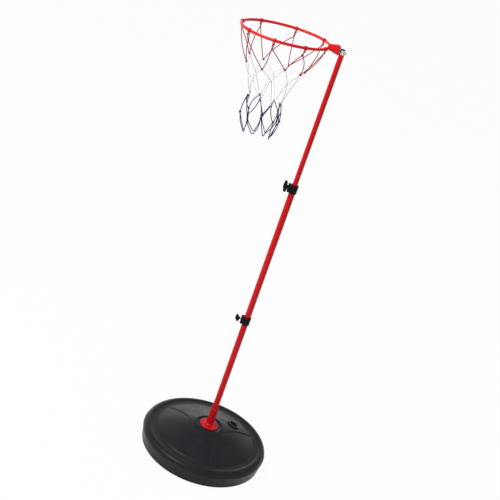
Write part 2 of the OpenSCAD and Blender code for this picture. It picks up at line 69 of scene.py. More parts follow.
def make_camera():
    data = bpy.data.cameras.new("camera")
    data.sensor_width = SENSOR_WIDTH_MM
    data.lens = FOCAL_PX / PHOTO_WIDTH_PX * data.sensor_width
    camera = bpy.data.objects.new("camera", data)
    scene.collection.objects.link(camera)
    forward = (CAMERA_TARGET - CAMERA_AT).normalized()
    level = forward.cross(UP).normalized()
    upright = level.cross(forward)
    c, s = math.cos(CAMERA_ROLL), math.sin(CAMERA_ROLL)
    right = level * c + upright * s
    above = upright * c - level * s
    turn = Matrix((right, above, -forward)).transposed().to_4x4()
    camera.matrix_world = Matrix.Translation(CAMERA_AT) @ turn
    scene.camera = camera


make_camera()


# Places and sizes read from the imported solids

def radius_of(node):
    lo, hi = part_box(node)
    return (hi.y - lo.y) / 2


def heights(node):
    lo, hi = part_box(node)
    return lo.z, hi.z


joints = {j["name"]: j for j in frame["joints"]}
BASE_R = radius_of("base_tank")
DOME_TOP_Z = heights("base_tank")[1]
TUBE_R = radius_of("lower_tube")
TOP_TUBE_R = radius_of("upper_tube")
SPIGOT_R = radius_of("rim_spigot")


# Mesh building

# How many rings of a cord make one unit of its texture space
UV_RINGS = 1000
# The most of a side that one rounded corner takes up
CORNER_SHARE = 0.45


def new_object(name, mesh):
    obj = bpy.data.objects.new(name, mesh)
    scene.collection.objects.link(obj)
    return obj


def mesh_of(bm, name):
    mesh = bpy.data.meshes.new(name)
    bm.to_mesh(mesh)
    bm.free()
    return mesh


def shade(obj, angle):
    """Smooth shading, with edges sharper than the angle kept."""
    mesh = obj.data
    mesh.shade_smooth()
    mesh.set_sharp_from_angle(angle=math.radians(angle))


def smoothstep(a, b, x):
    """Rises softly from 0 at a to 1 at b."""
    t = min(max((x - a) / (b - a), 0), 1)
    return t * t * (3 - 2 * t)


def rounded(points, radius, steps=4, closed=False):
    """The outline with each corner replaced by an arc-like curve of about that radius."""
    out = []
    n = len(points)
    for i, p in enumerate(points):
        p = Vector(p)
        if not closed and i in (0, n - 1):
            out.append(p)
            continue
        before = Vector(points[i - 1]) - p
        after = Vector(points[(i + 1) % n]) - p
        trim = min(radius, before.length * CORNER_SHARE, after.length * CORNER_SHARE)
        start = p + before.normalized() * trim
        end = p + after.normalized() * trim
        for k in range(steps + 1):
            t = k / steps
            out.append(start * (1 - t) ** 2 + p * 2 * t * (1 - t) + end * t * t)
    return out


def inset(points, by):
    """An open outline moved to its left by a distance, with its corners kept."""
    lines = []
    for a, b in zip(points, points[1:]):
        t = (Vector(b) - Vector(a)).normalized()
        left = Vector((-t.y, t.x)) * by
        lines.append((Vector(a) + left, Vector(b) + left))
    out = [lines[0][0]]
    for (a, b), (c, d) in zip(lines, lines[1:]):
        out.append(a + (b - a) * ((c - a).cross(d - c) / (b - a).cross(d - c)))
    out.append(lines[-1][1])
    return out


def mesh_from_rings(name, rings, closed_path=False, uv=False):
    """A skin over rings of points. A ring of one point is a pole."""
    bm = bmesh.new()
    rows = [[bm.verts.new(p) for p in ring] for ring in rings]
    layer = bm.loops.layers.uv.new("cord") if uv else None
    pairs = list(zip(rows, rows[1:]))
    if closed_path:
        pairs.append((rows[-1], rows[0]))
    for index, (a, b) in enumerate(pairs):
        n = max(len(a), len(b))
        for k in range(n):
            k2 = (k + 1) % n
            corners = [a[k % len(a)], a[k2 % len(a)], b[k2 % len(b)], b[k % len(b)]]
            face = bm.faces.new(list(dict.fromkeys(corners)))
            if layer:
                places = [(index, k), (index, k + 1), (index + 1, k + 1), (index + 1, k)]
                for loop, (along, around) in zip(face.loops, places):
                    loop[layer].uv = (along / UV_RINGS, around / n)
    if not closed_path:
        for row, flip in ((rows[0], True), (rows[-1], False)):
            if len(row) > 2:
                bm.faces.new(row[::-1] if flip else row)
    bmesh.ops.recalc_face_normals(bm, faces=bm.faces)
    return mesh_of(bm, name)


def round_angles(count):
    """Evenly spaced angles, once round."""
    return [2 * math.pi * k / count for k in range(count)]


def circle_points(r, z, segments):
    """A level circle round Z, which is a single point on the axis."""
    if r < 1e-7:
        return [Vector((0, 0, z))]
    return [Vector((r * math.cos(a), r * math.sin(a), z)) for a in round_angles(segments)]


def section_ring(p, u, v, r, sides):
    """A round section about a point, in the plane of two directions."""
    return [p + (u * math.cos(a) + v * math.sin(a)) * r for a in round_angles(sides)]


def lathe(name, profile, segments=96, closed=False, place=None):
    """A turned piece: the profile of (radius, height) points goes once round Z."""
    rings = [circle_points(p[0], p[1], segments) for p in profile]
    obj = new_object(name, mesh_from_rings(name, rings, closed_path=closed))
    if place:
        obj.data.transform(place)
    return obj


def cylinder_cutter(name, r, z0, z1, place=None):
    return lathe(name, [(0, z0), (r, z0), (r, z1), (0, z1)], 96, place=place)


def ring_profile(r, bore, z0, z1, edge):
    """The section of a plain ring or tube with rounded edges."""
    return rounded([(r, z0), (r, z1), (bore, z1), (bore, z0)], edge, closed=True)


def torus(name, ring_r, rod_r, segments, sides, place):
    around = circle_points(1, 0, segments)
    rings = [section_ring(out * ring_r, out, UP, rod_r, sides) for out in around]
    obj = new_object(name, mesh_from_rings(name, rings, closed_path=True))
    obj.data.transform(place)
    return obj


def along_axis(origin, axis):
    """Turns a piece built along +Z so that it runs along axis from origin, with local X kept upright."""
    axis = Vector(axis).normalized()
    upward = UP if abs(axis.z) < 0.99 else Vector((1, 0, 0))
    high = (upward - axis * upward.dot(axis)).normalized()
    turn = Matrix((high, axis.cross(high), axis)).transposed().to_4x4()
    return Matrix.Translation(origin) @ turn


def join(name, parts):
    """The parts as one object under that name."""
    bm = bmesh.new()
    for part in parts:
        bm.from_mesh(part.data)
        drop(part)
    return new_object(name, mesh_of(bm, name))


def drop(obj):
    mesh = obj.data
    bpy.data.objects.remove(obj)
    bpy.data.meshes.remove(mesh)


def bake_modifiers(obj):
    """The object's mesh becomes what its modifiers make of it."""
    bpy.context.view_layer.update()
    result = obj.evaluated_get(bpy.context.evaluated_depsgraph_get())
    mesh = bpy.data.meshes.new_from_object(result)
    old = obj.data
    obj.modifiers.clear()
    obj.data = mesh
    bpy.data.meshes.remove(old)


def cut(obj, cutter, operation="DIFFERENCE"):
    change = obj.modifiers.new("cut", "BOOLEAN")
    change.operation = operation
    change.solver = "EXACT"
    change.object = cutter
    bake_modifiers(obj)
    drop(cutter)


def melt(obj, voxel, rounds):
    """Fuses overlapping shells into one moulding with soft inside corners."""
    remesh = obj.modifiers.new("melt", "REMESH")
    remesh.mode = "VOXEL"
    remesh.voxel_size = voxel
    soften = obj.modifiers.new("soften", "SMOOTH")
    soften.factor = 0.5
    soften.iterations = rounds
    bake_modifiers(obj)


def bevel(obj, width):
    edge = obj.modifiers.new("bevel", "BEVEL")
    edge.width = width
    edge.segments = 3
    edge.limit_method = "ANGLE"
    edge.angle_limit = math.radians(30)
    bake_modifiers(obj)


# Procedural materials. Noise scales are per metre, or per unit of a cord's texture space.

# Where nearly all values of a noise texture lie
NOISE_SPREAD = (0.3, 0.7)


def add_node(tree, kind, **values):
    """A new shader node, with the named sockets set. An underscore stands for a space."""
    node = tree.nodes.new("ShaderNode" + kind)
    for name, value in values.items():
        node.inputs[name.replace("_", " ")].default_value = value
    return node


def empty_tree(owner):
    owner.use_nodes = True
    owner.node_tree.nodes.clear()
    return owner.node_tree


def new_material(name, **values):
    """A material of one shader, with the named sockets set."""
    mat = bpy.data.materials.new(name)
    tree = empty_tree(mat)
    output = add_node(tree, "OutputMaterial")
    shader = add_node(tree, "BsdfPrincipled", **values)
    tree.links.new(shader.outputs["BSDF"], output.inputs["Surface"])
    return mat, tree, shader


def noise_value(tree, scale, low=0, high=1, detail=3, stretch=(1, 1, 1), coordinate="Object"):
    """A noise field in the object's own space, spread between two values."""
    link = tree.links.new
    place = add_node(tree, "TexCoord")
    mapping = add_node(tree, "Mapping", Scale=stretch)
    field = add_node(tree, "TexNoise", Scale=scale, Detail=detail)
    least, most = NOISE_SPREAD
    spread = add_node(tree, "MapRange", From_Min=least, From_Max=most, To_Min=low, To_Max=high)
    link(place.outputs[coordinate], mapping.inputs["Vector"])
    link(mapping.outputs["Vector"], field.inputs["Vector"])
    link(field.outputs["Fac"], spread.inputs["Value"])
    return spread.outputs["Result"]


def blend_colours(tree, factor, a, b):
    mix = add_node(tree, "Mix")
    mix.data_type = "RGBA"
    mix.inputs["A"].default_value = (*a, 1)
    mix.inputs["B"].default_value = (*b, 1)
    tree.links.new(factor, mix.inputs["Factor"])
    return mix.outputs["Result"]


def bump(tree, height, distance, normal=None):
    node = add_node(tree, "Bump", Strength=1, Distance=distance)
    tree.links.new(height, node.inputs["Height"])
    if normal:
        tree.links.new(normal, node.inputs["Normal"])
    return node.outputs["Normal"]


def moulded(name, dark, light, rough, grain, grain_mm, shine):
    """Moulded plastic: faint mottling, uneven gloss and a fine moulded grain."""
    mat, tree, shader = new_material(name, Specular_IOR_Level=shine)
    link = tree.links.new
    link(blend_colours(tree, noise_value(tree, 18), dark, light), shader.inputs["Base Color"])
    link(noise_value(tree, 35, *rough), shader.inputs["Roughness"])
    waves = bump(tree, noise_value(tree, 14, detail=1), 0.25 * MM)
    link(bump(tree, noise_value(tree, grain), grain_mm * MM, waves), shader.inputs["Normal"])
    return mat


def enamel(name, dark, light, rough, shine):
    """Sprayed gloss paint: orange peel, slight dust and colour drift."""
    mat, tree, shader = new_material(name, Specular_IOR_Level=shine)
    link = tree.links.new
    drift = noise_value(tree, 9, stretch=(1, 1, 0.35))
    link(blend_colours(tree, drift, dark, light), shader.inputs["Base Color"])
    link(noise_value(tree, 60, *rough, detail=4), shader.inputs["Roughness"])
    peel = bump(tree, noise_value(tree, 420, detail=1), 0.03 * MM)
    link(bump(tree, noise_value(tree, 2600, detail=2), 0.008 * MM, peel), shader.inputs["Normal"])
    return mat


def plated(name, dull, bright, rough, lines):
    """Plated or turned metal, with fine lines across its axis."""
    mat, tree, shader = new_material(name, Metallic=1)
    link = tree.links.new
    link(blend_colours(tree, noise_value(tree, 120), dull, bright), shader.inputs["Base Color"])
    link(noise_value(tree, 300, *rough, stretch=lines), shader.inputs["Roughness"])
    link(bump(tree, noise_value(tree, 900, stretch=lines), 0.015 * MM), shader.inputs["Normal"])
    return mat


def cordage(name, dark, light, sheen):
    """Laid cord: fibres that run along it, with soft sheen."""
    mat, tree, shader = new_material(name, Sheen_Weight=sheen, Sheen_Roughness=0.4)
    link = tree.links.new
    fibres = noise_value(tree, 6, detail=4, stretch=(60, 9, 1), coordinate="UV")
    link(blend_colours(tree, fibres, dark, light), shader.inputs["Base Color"])
    link(noise_value(tree, 500, 0.62, 0.85), shader.inputs["Roughness"])
    link(bump(tree, fibres, 0.12 * MM), shader.inputs["Normal"])
    return mat


# Each drifts between a darker and a lighter colour
base_black = moulded(
    "base_black", (0.0125, 0.012, 0.0155), (0.0175, 0.0168, 0.0215),
    rough=(0.3, 0.44), grain=700, grain_mm=0.05, shine=0.15,
)
clamp_black = moulded(
    "clamp_black", (0.003, 0.003, 0.004), (0.006, 0.006, 0.007),
    rough=(0.42, 0.56), grain=1500, grain_mm=0.03, shine=0.1,
)
cap_black = moulded(
    "cap_black", (0.003, 0.003, 0.003), (0.006, 0.006, 0.006),
    rough=(0.6, 0.7), grain=1500, grain_mm=0.03, shine=0.04,
)
bush_black = moulded(
    "bush_black", (0.020, 0.020, 0.022), (0.04, 0.04, 0.044),
    rough=(0.4, 0.55), grain=1500, grain_mm=0.02, shine=0.3,
)
socket_red = moulded(
    "socket_red", (0.52, 0.002, 0.005), (0.62, 0.004, 0.009),
    rough=(0.16, 0.28), grain=900, grain_mm=0.015, shine=0.3,
)
pole_red = enamel("pole_red", (0.60, 0.003, 0.006), (0.68, 0.006, 0.010), rough=(0.2, 0.32), shine=0.16)
rim_red = enamel("rim_red", (0.66, 0.006, 0.008), (0.76, 0.011, 0.014), rough=(0.22, 0.36), shine=0.2)
zinc = plated("zinc", (0.50, 0.49, 0.48), (0.66, 0.65, 0.63), rough=(0.2, 0.38), lines=(1, 1, 8))
brass = plated("brass", (0.55, 0.38, 0.14), (0.66, 0.47, 0.19), rough=(0.22, 0.36), lines=(1, 1, 6))
cord_red = cordage("cord_red", (0.27, 0.007, 0.014), (0.46, 0.016, 0.026), sheen=0.1)
cord_white = cordage("cord_white", (0.92, 0.92, 0.94), (0.98, 0.98, 0.98), sheen=0.7)
cord_blue = cordage("cord_blue", (0.003, 0.0025, 0.045), (0.013, 0.011, 0.14), sheen=0.02)


def dress(obj, body, material, node, angle=35):
    """Finishes a piece: its material, the body it rides on and the solid it stands for."""
    obj.data.materials.clear()
    obj.data.materials.append(material)
    shade(obj, angle)
    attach(obj, body)
    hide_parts(node)


def finish_node(node, material):
    """A solid whose shape is right keeps it, and takes a better material."""
    mesh = frame["nodes"][node].data
    mesh.materials.clear()
    mesh.materials.append(material)


# Base: a blow-moulded tank with a rounded lip, a crowned top and two shallow side panels

BASE_DRAFT = 5 * MM
PARTING_Z = 38 * MM
LIP_ROUND = 16 * MM
GROOVE_DROP = 2.5 * MM
GROOVE_W = 15 * MM
DOME_STEP = 4 * MM
STEP_RUN = 5 * MM
DOME_CROWN = 1 * MM
SEAT_R = 42 * MM
SEAT_DROP = 2 * MM
WALL = 3 * MM
PANEL_DROP = 2 * MM
PANEL_R = 190 * MM
PANEL_OUT = 246 * MM
PANEL_ANGLE = math.radians(23)
PANEL_EDGE = 1.8 * MM
PANEL_LINE_HALF = 2 * MM
# Each panel's direction, the depth of the line round it, and the stretch over which its edge fades out
PANELS = (
    (-PANEL_ANGLE, 2.4 * MM, None),
    (math.pi + PANEL_ANGLE, 0.9 * MM, (-20 * MM, 70 * MM)),
)
BASE_TURN = math.radians(12)
WELL_R = 15 * MM
WELL_Z = 14 * MM
SEAT_BLEND = 6 * MM
STEP_SOFT = 1.4 * MM
GROOVE_SOFT = 1 * MM
SEAM_RISE = 1 * MM
SEAM_HALF = 0.9 * MM
SEAM_FLAT_HALF = 0.3 * MM
# Shallow rings pressed into the underside, each by its outer and inner radius
FOOT_RINGS = ((178 * MM, 165 * MM), (70 * MM, 57 * MM))
FOOT_RING_DEPTH = 1.2 * MM
FOOT_RING_SLOPE = 3 * MM
FILL_X = 74 * MM
FILL_Y = 70 * MM
FILL_R = math.hypot(FILL_X, FILL_Y)
FILL_AZIMUTH = math.atan2(FILL_Y, FILL_X) + BASE_TURN
FILL_BORE_R = 17 * MM
FILL_BOSS_R = 24 * MM
FILL_BOSS_RISE = 1 * MM
FILL_BOSS_EDGE = (FILL_BOSS_R - 1.2 * MM, FILL_BOSS_R + 0.6 * MM)
FILL_NECK = 12 * MM
# Clearance of a close fit
SLIP = 0.05 * MM
LIP_C = BASE_R - LIP_ROUND
LIP_END = math.pi - math.asin((LIP_ROUND - GROOVE_DROP) / LIP_ROUND)
GROOVE_OUT_R = LIP_C + LIP_ROUND * math.cos(LIP_END)
GROOVE_R = GROOVE_OUT_R - GROOVE_W
GROOVE_Z = PARTING_Z + LIP_ROUND - GROOVE_DROP
DOME_R = GROOVE_R - STEP_RUN
DOME_EDGE_Z = GROOVE_Z + DOME_STEP
SEAT_Z = DOME_TOP_Z - SEAT_DROP
FILL_AXIS = Vector(joints["stopper_lift"]["axis"]).normalized()


def dome(r):
    """Height of the plain crowned top at a radius."""
    t = (DOME_R - r) / (DOME_R - SEAT_R)
    return DOME_EDGE_Z + (DOME_TOP_Z - DOME_EDGE_Z) * t + 4 * DOME_CROWN * t * (1 - t)


FILL_AT = Vector((FILL_R * math.cos(FILL_AZIMUTH), FILL_R * math.sin(FILL_AZIMUTH), dome(FILL_R)))


def panel_depth(x, y):
    """How deep the side panels lie at a point, with the line that is moulded along their round edges."""
    depth = 0
    for angle, line_depth, fade in PANELS:
        a = angle + BASE_TURN
        away = math.hypot(x - PANEL_OUT * math.cos(a), y - PANEL_OUT * math.sin(a))
        panel = PANEL_DROP * (1 - smoothstep(PANEL_R - PANEL_EDGE, PANEL_R, away))
        line = line_depth * math.exp(-((away - PANEL_R) / PANEL_LINE_HALF) ** 2)
        kept = 1
        if fade:
            along = y * math.cos(a) - x * math.sin(a)
            kept = 1 - smoothstep(*fade, along)
        depth = max(depth, (panel + line) * kept)
    return depth


def soft_lower(a, b, width):
    """The lower of two heights, with the crease between them rounded off."""
    return (a + b - math.hypot(a - b, width)) / 2


def top_height(x, y):
    """Height of the crowned top with its panels, down its stepped edge to the groove's floor."""
    r = math.hypot(x, y)
    panelled = dome(r) - panel_depth(x, y) * smoothstep(SEAT_R, SEAT_R + SEAT_BLEND, r)
    step = DOME_EDGE_Z + (DOME_R - r) * DOME_STEP / STEP_RUN
    z = -soft_lower(-soft_lower(panelled, step, STEP_SOFT), -GROOVE_Z, GROOVE_SOFT)
    offset = Vector((x, y, z)) - FILL_AT
    rise = offset.dot(FILL_AXIS)
    away = (offset - FILL_AXIS * rise).length
    lift = (FILL_BOSS_RISE - rise) / FILL_AXIS.z
    return z + lift * (1 - smoothstep(*FILL_BOSS_EDGE, away))


def arc_points(centre, r, start, end, steps):
    out = []
    for i in range(steps + 1):
        a = start + (end - start) * i / steps
        out.append((centre[0] + r * math.cos(a), centre[1] + r * math.sin(a)))
    return out


def tank_outline():
    """The tank's outside from the well's floor over the lip to the middle of the underside.

    The crowned top is left out: it is a field of heights.
    """
    well = rounded([(0, WELL_Z), (WELL_R, WELL_Z), (WELL_R, SEAT_Z), (SEAT_R - 1.5 * MM, SEAT_Z)], 1.2 * MM)
    well += [Vector((SEAT_R - 0.5 * MM, SEAT_Z + 0.5 * MM)), Vector((SEAT_R, DOME_TOP_Z - 0.3 * MM))]
    just_above_seam = 0.06
    lip = arc_points((LIP_C, PARTING_Z), LIP_ROUND, LIP_END, just_above_seam, 28)
    floor_r = (GROOVE_R + GROOVE_OUT_R) / 2
    foot_r = BASE_R - BASE_DRAFT
    seam = [
        (BASE_R - 0.1 * MM, PARTING_Z + SEAM_HALF),
        (BASE_R + SEAM_RISE, PARTING_Z + SEAM_FLAT_HALF),
        (BASE_R + SEAM_RISE, PARTING_Z - SEAM_FLAT_HALF),
        (BASE_R - 0.3 * MM, PARTING_Z - SEAM_HALF),
    ]
    under = [(foot_r + 0.3 * MM, 5 * MM), (foot_r, 0)]
    for outer, inner in FOOT_RINGS:
        under += [
            (outer, 0), (outer - FOOT_RING_SLOPE, FOOT_RING_DEPTH),
            (inner + FOOT_RING_SLOPE, FOOT_RING_DEPTH), (inner, 0),
        ]
    under.append((0, 0))
    side = rounded(seam + under, 2.4 * MM, steps=3)
    blend = 4
    groove = rounded([(floor_r, GROOVE_Z), lip[0], lip[blend]], 3 * MM)
    return well, groove + [Vector(p) for p in lip[blend + 1:]] + side


def tank_inner_shell():
    """The inside of the hollow tank, clear of the deepest line of the panels."""
    under_top = WALL + PANEL_DROP + max(line_depth for _, line_depth, _ in PANELS)
    inner_top = [(r, dome(r) - under_top) for r in (150 * MM, 120 * MM, 90 * MM, 60 * MM)]
    outline = [
        (WELL_R + WALL, WALL),
        (BASE_R - BASE_DRAFT - 2 * WALL, WALL),
        (BASE_R - WALL, PARTING_Z),
        (LIP_C, PARTING_Z + LIP_ROUND - WALL),
        (GROOVE_R + WALL, GROOVE_Z - under_top),
        *inner_top,
        (SEAT_R, SEAT_Z - under_top),
        (WELL_R + WALL, SEAT_Z - under_top),
    ]
    shell = lathe("tank_inner", rounded(outline, 3 * MM, closed=True), 128, closed=True)
    shell.data.flip_normals()
    return shell


def make_base():
    segments = 720
    spacing = 1.2 * MM
    well, outside = tank_outline()
    rings = [circle_points(p[0], p[1], segments) for p in well]
    top_end = GROOVE_R + GROOVE_W / 2 - 1 * MM
    count = round((top_end - SEAT_R) / spacing)
    for i in range(1, count + 1):
        r = SEAT_R + (top_end - SEAT_R) * i / count
        ring = circle_points(r, 0, segments)
        for p in ring:
            p.z = top_height(p.x, p.y)
        rings.append(ring)
    rings += [circle_points(p[0], p[1], segments) for p in outside]
    skin = new_object("tank_skin", mesh_from_rings("tank_skin", rings))
    body = join("base_shell", [skin, tank_inner_shell()])
    at_fill = along_axis(FILL_AT, FILL_AXIS)
    cut(body, cylinder_cutter("fill_bore", FILL_BORE_R, -16 * MM, 6 * MM, place=at_fill))
    neck = lathe(
        "fill_neck",
        ring_profile(FILL_BORE_R + WALL, FILL_BORE_R, -FILL_NECK, -1.2 * MM, 0.6 * MM),
        96, closed=True, place=at_fill,
    )
    dress(join("base_moulding", [body, neck]), "stand", base_black, "base_tank", angle=30)


def make_stopper():
    flange_r, flange_t = 21 * MM, 3 * MM
    cup_r, length, floor = 13.5 * MM, 20 * MM, 2 * MM
    shank_r = FILL_BORE_R - SLIP
    outline = [
        (0, -length), (shank_r - 0.8 * MM, -length), (shank_r, 3 * MM - length),
        (shank_r - 0.9 * MM, -2.2 * MM), (shank_r, 0), (flange_r, 0), (flange_r, flange_t),
        (cup_r + 2 * MM, flange_t), (cup_r, flange_t - 1.5 * MM), (cup_r - 1 * MM, floor - length),
        (0, floor - length),
    ]
    place = along_axis(FILL_AT + FILL_AXIS * (FILL_BOSS_RISE + SLIP), FILL_AXIS)
    plug = lathe("fill_stopper", rounded(outline, 0.8 * MM), 96, place=place)
    dress(plug, "stopper", base_black, "fill_plug")


# Pole: a socket, three tubes and the spigots between them

def make_socket():
    foot, top = heights("pole_socket")
    flange_r = radius_of("pole_socket")
    flange_top = SEAT_Z + 4 * MM
    sleeve_r = 11.5 * MM
    stub_r = WELL_R - SLIP
    bore_r = TUBE_R + SLIP
    floor = foot + 4 * MM
    outline = [
        (0, foot), (stub_r, foot), (stub_r, SEAT_Z), (flange_r, SEAT_Z), (flange_r, SEAT_Z + 1 * MM),
        (flange_r - 1.8 * MM, flange_top), (sleeve_r + 3 * MM, flange_top + 0.5 * MM),
        (sleeve_r + 0.8 * MM, flange_top + 2.5 * MM), (sleeve_r + 0.3 * MM, flange_top + 12 * MM),
        (sleeve_r, top - 5 * MM), (sleeve_r + 0.5 * MM, top - 4 * MM), (sleeve_r + 0.5 * MM, top),
        (bore_r, top), (bore_r, floor), (0, floor),
    ]
    socket = lathe("flanged_socket", rounded(outline, 1.2 * MM, steps=5), 128)
    dress(socket, "stand", socket_red, "pole_socket")


def make_tube(name, node, body, material, wall):
    r = radius_of(node)
    foot, top = heights(node)
    tube = lathe(name, ring_profile(r, r - wall, foot, top, 0.35 * MM), closed=True)
    dress(tube, body, material, node)


def make_pole():
    make_socket()
    make_tube("pole_lower", "lower_tube", "stand", pole_red, 1.2 * MM)
    make_tube("pole_middle", "middle_tube", "mid_pole", pole_red, 1.2 * MM)
    make_tube("pole_upper", "upper_tube", "hoop", pole_red, 1 * MM)
    make_tube("pole_spigot", "middle_spigot", "mid_pole", zinc, 1.2 * MM)
    finish_node("lower_bush", bush_black)
    finish_node("upper_bush", bush_black)


# Clamps: a moulded collar with a boss, and a winged screw with a real thread

COLLAR_R = 12 * MM
COLLAR_GRIP = 6 * MM
COLLAR_BORE_GAP = 0.06 * MM
BOSS_W = 18 * MM
BOSS_OUT = 17.5 * MM
SCREW_R = 2.95 * MM
SCREW_PITCH = 1 * MM
STOP_GAP = 0.3 * MM
WING_GAP = 0.5 * MM
LOWER_BACK = 2 * MM
TIP_HEAD = 1.05 * MM
LOWER_TIP = TUBE_R + STOP_GAP + LOWER_BACK
UPPER_TIP = TOP_TUBE_R + STOP_GAP
SCREW_LEN = BOSS_OUT + WING_GAP - UPPER_TIP
SCREW_IN_WING = 5 * MM
WING_SEAT = {"lower_wing": LOWER_TIP + SCREW_LEN, "upper_wing": UPPER_TIP + SCREW_LEN}
WING_TURN = {"lower_wing": math.radians(87), "upper_wing": math.radians(48)}
# A wing's reach from the screw's axis, with its half thickness and half height there, in millimetres
WING_STATIONS = (
    (0, 3.2, 6.2), (5, 3, 6), (9, 2.7, 5.2), (12, 2.6, 4.7),
    (14.5, 2.7, 4.5), (17, 2.3, 3.7), (18.5, 1.5, 2), (19, 0.2, 0.3),
)
WING_MIDDLE = 7
WING_SIDES = 24


def threaded_rod(name, r, length, pitch, place):
    """A rod whose surface rises and falls along a helix."""
    depth = 0.45 * pitch
    steps_per_turn, sides = 8, 32
    rings = [[Vector((0, 0, 0))]]
    count = round(length / pitch * steps_per_turn)
    for i in range(count + 1):
        z = length * i / count
        ring = []
        taper = min(1, (length - z) / pitch + 0.2, z / pitch + 0.2)
        for k, a in enumerate(round_angles(sides)):
            phase = (z / pitch - k / sides) % 1
            crest = abs(phase * 2 - 1)
            here = r - depth * (1 - crest * taper)
            ring.append(Vector((here * math.cos(a), here * math.sin(a), z)))
        rings.append(ring)
    rings.append([Vector((0, 0, length))])
    obj = new_object(name, mesh_from_rings(name, rings))
    obj.data.transform(place)
    return obj


def at_screw(screw, out=0):
    """Along a clamp's screw, from that far out of the pole's axis."""
    axis = Vector(screw["axis"]).normalized()
    return along_axis(Vector(screw["pos_m"]) + axis * out, axis)


def boss_block(low, high, place):
    """A square boss from the pole's axis out to its face, built along +Z with X upright."""
    half = BOSS_W / 2
    rings = []
    for out, by in ((0, 0), (BOSS_OUT - 1.6 * MM, 0), (BOSS_OUT - 0.5 * MM, 0.4 * MM), (BOSS_OUT, 1.4 * MM)):
        outline = [
            (low + by, by - half), (high - by, by - half), (high - by, half - by), (low + by, half - by)
        ]
        rings.append([Vector((x, y, out)) for x, y in rounded(outline, 2 * MM, closed=True)])
    block = new_object("collar_boss", mesh_from_rings("collar_boss", rings))
    block.data.transform(place)
    return block


def make_collar(name, node, body, screw, tube_above_r):
    """A beaded collar and its boss in one moulding, bored for the two tubes and the screw."""
    foot, top = heights(node)
    middle = screw["pos_m"][2]
    on_screw = at_screw(screw)
    bead = 0.5 * MM
    rise = 2.2 * MM
    outline = [
        (0, foot), (COLLAR_R + bead, foot), (COLLAR_R + bead, foot + rise), (COLLAR_R, foot + rise + bead),
        (COLLAR_R, top - rise - bead), (COLLAR_R + bead, top - rise), (COLLAR_R + bead, top), (0, top),
    ]
    ring = lathe("collar_ring", rounded(outline, 0.8 * MM), 128)
    boss = boss_block(foot + 0.5 * MM - middle, top - 0.5 * MM - middle, on_screw)
    collar = join(name, [ring, boss])
    melt(collar, 0.5 * MM, 6)
    split = foot + COLLAR_GRIP
    cut(collar, cylinder_cutter("bore_below", TUBE_R + COLLAR_BORE_GAP, foot - 5 * MM, split))
    cut(collar, cylinder_cutter("bore_above", tube_above_r + COLLAR_BORE_GAP, foot + 2 * MM, top + 5 * MM))
    cut(collar, cylinder_cutter("screw_way", SCREW_R + 0.15 * MM, 0, 30 * MM, place=on_screw))
    dress(collar, body, clamp_black, node, angle=40)


def make_wing(name, node, body, screw):
    """Two rounded wings on either side of a domed hub."""
    place = at_screw(screw, WING_SEAT[node]) @ Matrix.Rotation(WING_TURN[node], 4, "Z")
    hub = lathe("wing_hub", rounded([
        (0, 0), (5 * MM, 0), (5.5 * MM, 2 * MM), (5.5 * MM, 10 * MM), (4 * MM, 13.2 * MM), (0, 14 * MM),
    ], 1 * MM), 64)
    parts = [hub]
    for side in (-1, 1):
        rings = []
        for reach, half_t, half_h in WING_STATIONS:
            rings.append([
                Vector((side * reach, half_t * math.sin(a), WING_MIDDLE + half_h * math.cos(a))) * MM
                for a in round_angles(WING_SIDES)
            ])
        parts.append(new_object("wing_side", mesh_from_rings("wing_side", rings)))
    wing = join(name, parts)
    melt(wing, 0.4 * MM, 5)
    wing.data.transform(place)
    dress(wing, body, clamp_black, node, angle=60)


def make_screw(name, node, body, screw, from_axis, length):
    rod = threaded_rod(name, SCREW_R, length, SCREW_PITCH, at_screw(screw, from_axis))
    dress(rod, body, zinc, node)


def make_clamps():
    lower, upper = joints["lower_screw_turn"], joints["upper_screw_turn"]
    make_collar("clamp_lower", "lower_collar", "stand", lower, TUBE_R)
    make_collar("clamp_upper", "upper_collar", "mid_pole", upper, TOP_TUBE_R)
    make_wing("thumb_lower", "lower_wing", "lower_thumbscrew", lower)
    make_wing("thumb_upper", "upper_wing", "upper_thumbscrew", upper)
    reach = SCREW_LEN - TIP_HEAD + SCREW_IN_WING
    make_screw("thread_lower", "lower_screw", "lower_thumbscrew", lower, LOWER_TIP + TIP_HEAD, reach)
    make_screw("thread_upper", "upper_screw", "upper_thumbscrew", upper, UPPER_TIP + TIP_HEAD, reach)
    for side in ("lower", "upper"):
        finish_node(side + "_nut", zinc)
        finish_node(side + "_tip", brass)


# Rim: a bent rod on a folded bracket, with its plated spigot and cross bolt

ROD_R = 4 * MM
RIM_R = radius_of("rim_ring") - ROD_R
RIM_LO, RIM_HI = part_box("rim_ring")
RIM_DROOP = math.asin(((RIM_HI.z - RIM_LO.z) / 2 - ROD_R) / RIM_R)
RIM_C = (RIM_LO + RIM_HI) / 2
AT_RIM = Matrix.Translation(RIM_C) @ Matrix.Rotation(-RIM_DROOP, 4, "Y")
BRACKET_LO, BRACKET_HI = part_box("rim_bracket")
SHEET = 2 * MM
BEND_R = 3.4 * MM
INNER_BEND_R = 1.8 * MM
FOLD_RISE = 6 * MM
FOLD_IN = 8 * MM
BRACKET_FRONT = 14 * MM
BOLT_LO, BOLT_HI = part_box("bracket_bolt")
BOLT_AT = Vector((0, 0, (BOLT_LO.z + BOLT_HI.z) / 2))
ALONG_BOLT = along_axis(BOLT_AT, (1, 0, 0))
BOLT_R = 2 * MM
BOLT_HOLE_R = BOLT_R + 0.1 * MM
BOLT_CORE_R = BOLT_R - 0.1 * MM
BOLT_PITCH = 0.7 * MM
BOLT_THREAD = 7 * MM


